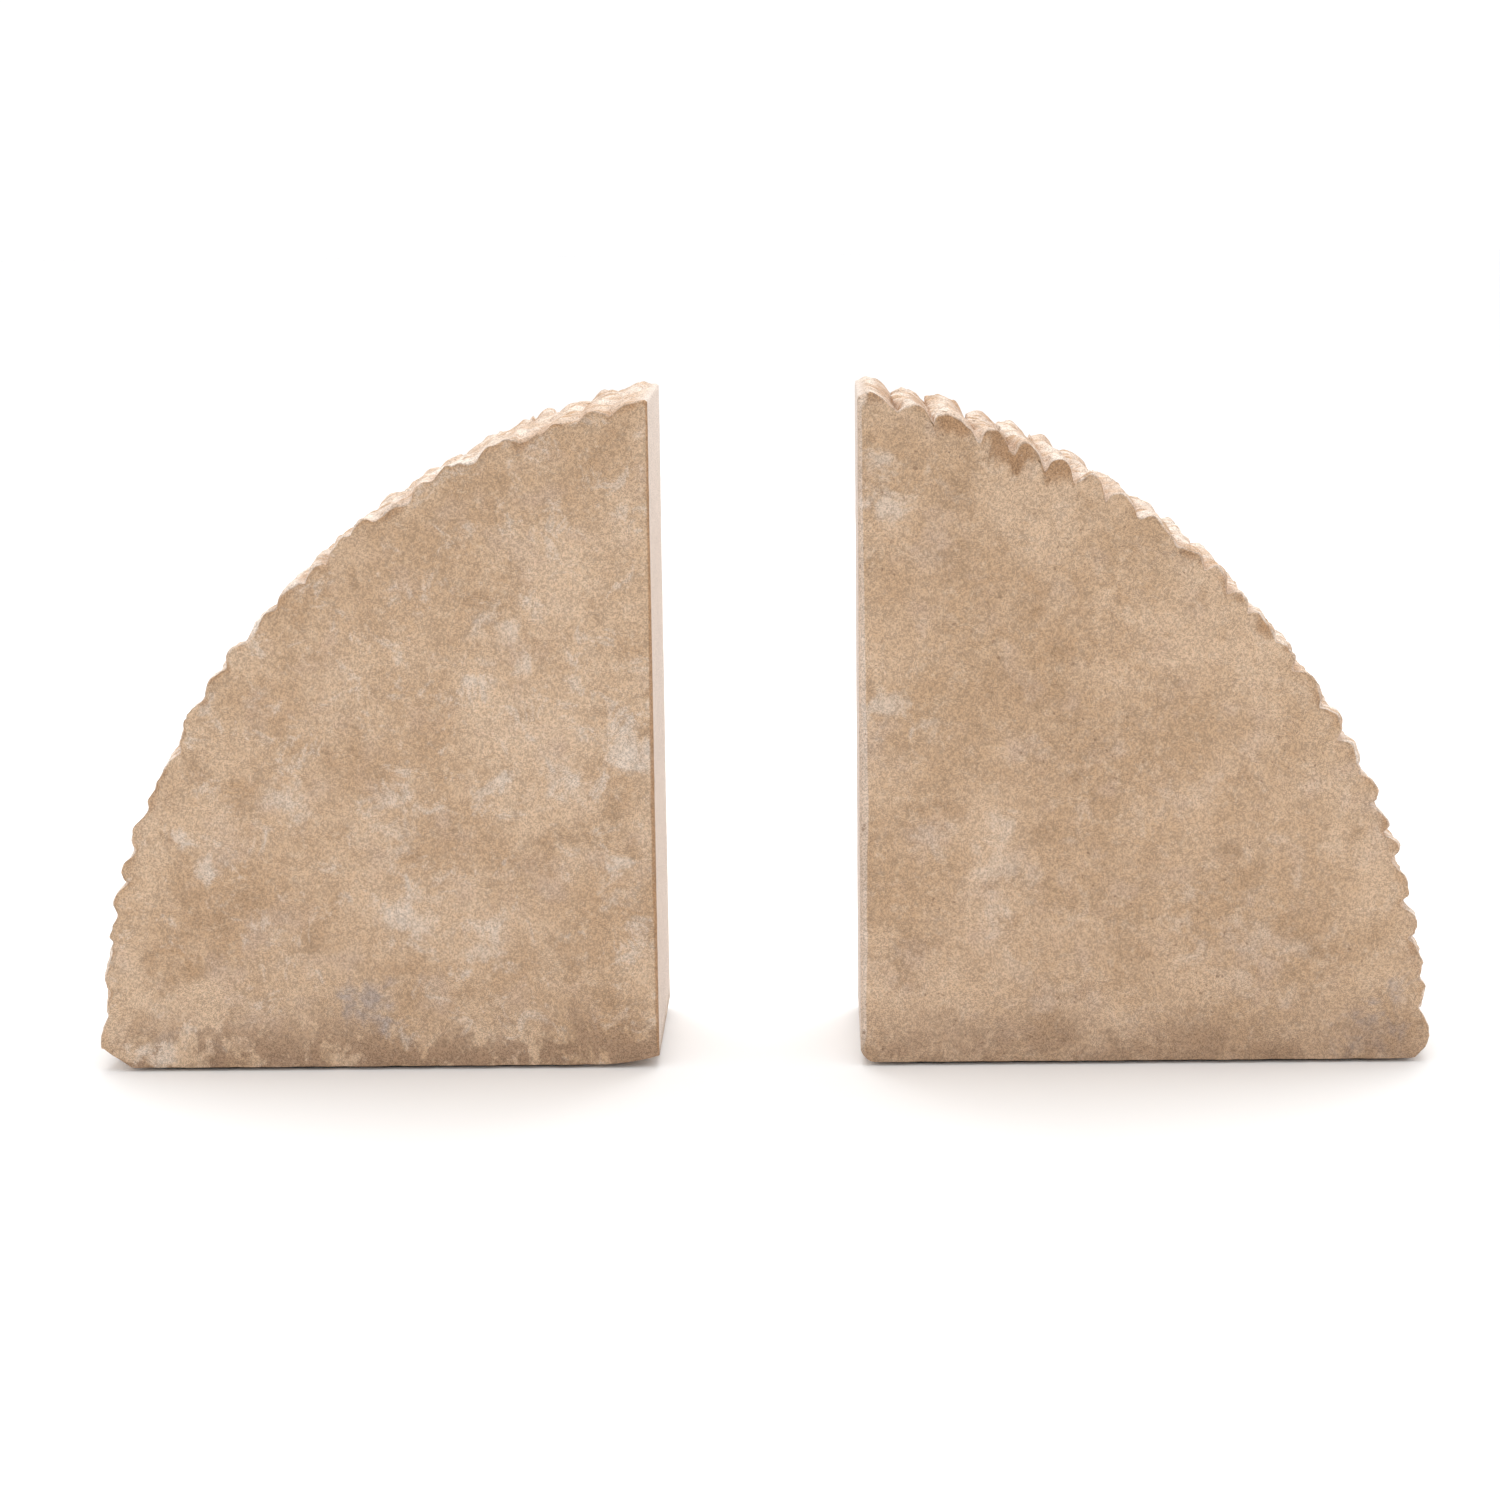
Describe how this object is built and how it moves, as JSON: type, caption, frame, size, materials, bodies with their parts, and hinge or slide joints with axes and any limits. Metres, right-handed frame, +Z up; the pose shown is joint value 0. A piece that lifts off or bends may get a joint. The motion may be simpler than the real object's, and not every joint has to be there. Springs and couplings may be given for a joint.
{
  "type": "book ends",
  "caption": "Free-standing stone book ends: quarter-round slabs with a flat upright face for the books, a flat felted base and a rough chiselled, fluted outer edge.",
  "frame": {"origin": "middle of the pair's box, on the surface that both stones stand on", "axes": "+X along the row of books from the left stone to the right one, +Y the depth of the shelf, away from the person in front, +Z up"},
  "size_m": [0.3032, 0.05, 0.1531],
  "materials": {
    "stone_left": "matte",
    "stone_right": "matte",
    "felt": "matte"
  },
  "bodies": {
    "left_book_end": {"left_block": "stone_left", "left_base_felt": "felt"},
    "right_book_end": {"right_block": "stone_right", "right_base_felt": "felt"}
  },
  "joints": [
    {"name": "pair_spacing", "type": "slide", "parent": "left_book_end", "child": "right_book_end", "axis": [1, 0, 0], "range_m": [-0.045, 0.254]}
  ]
}
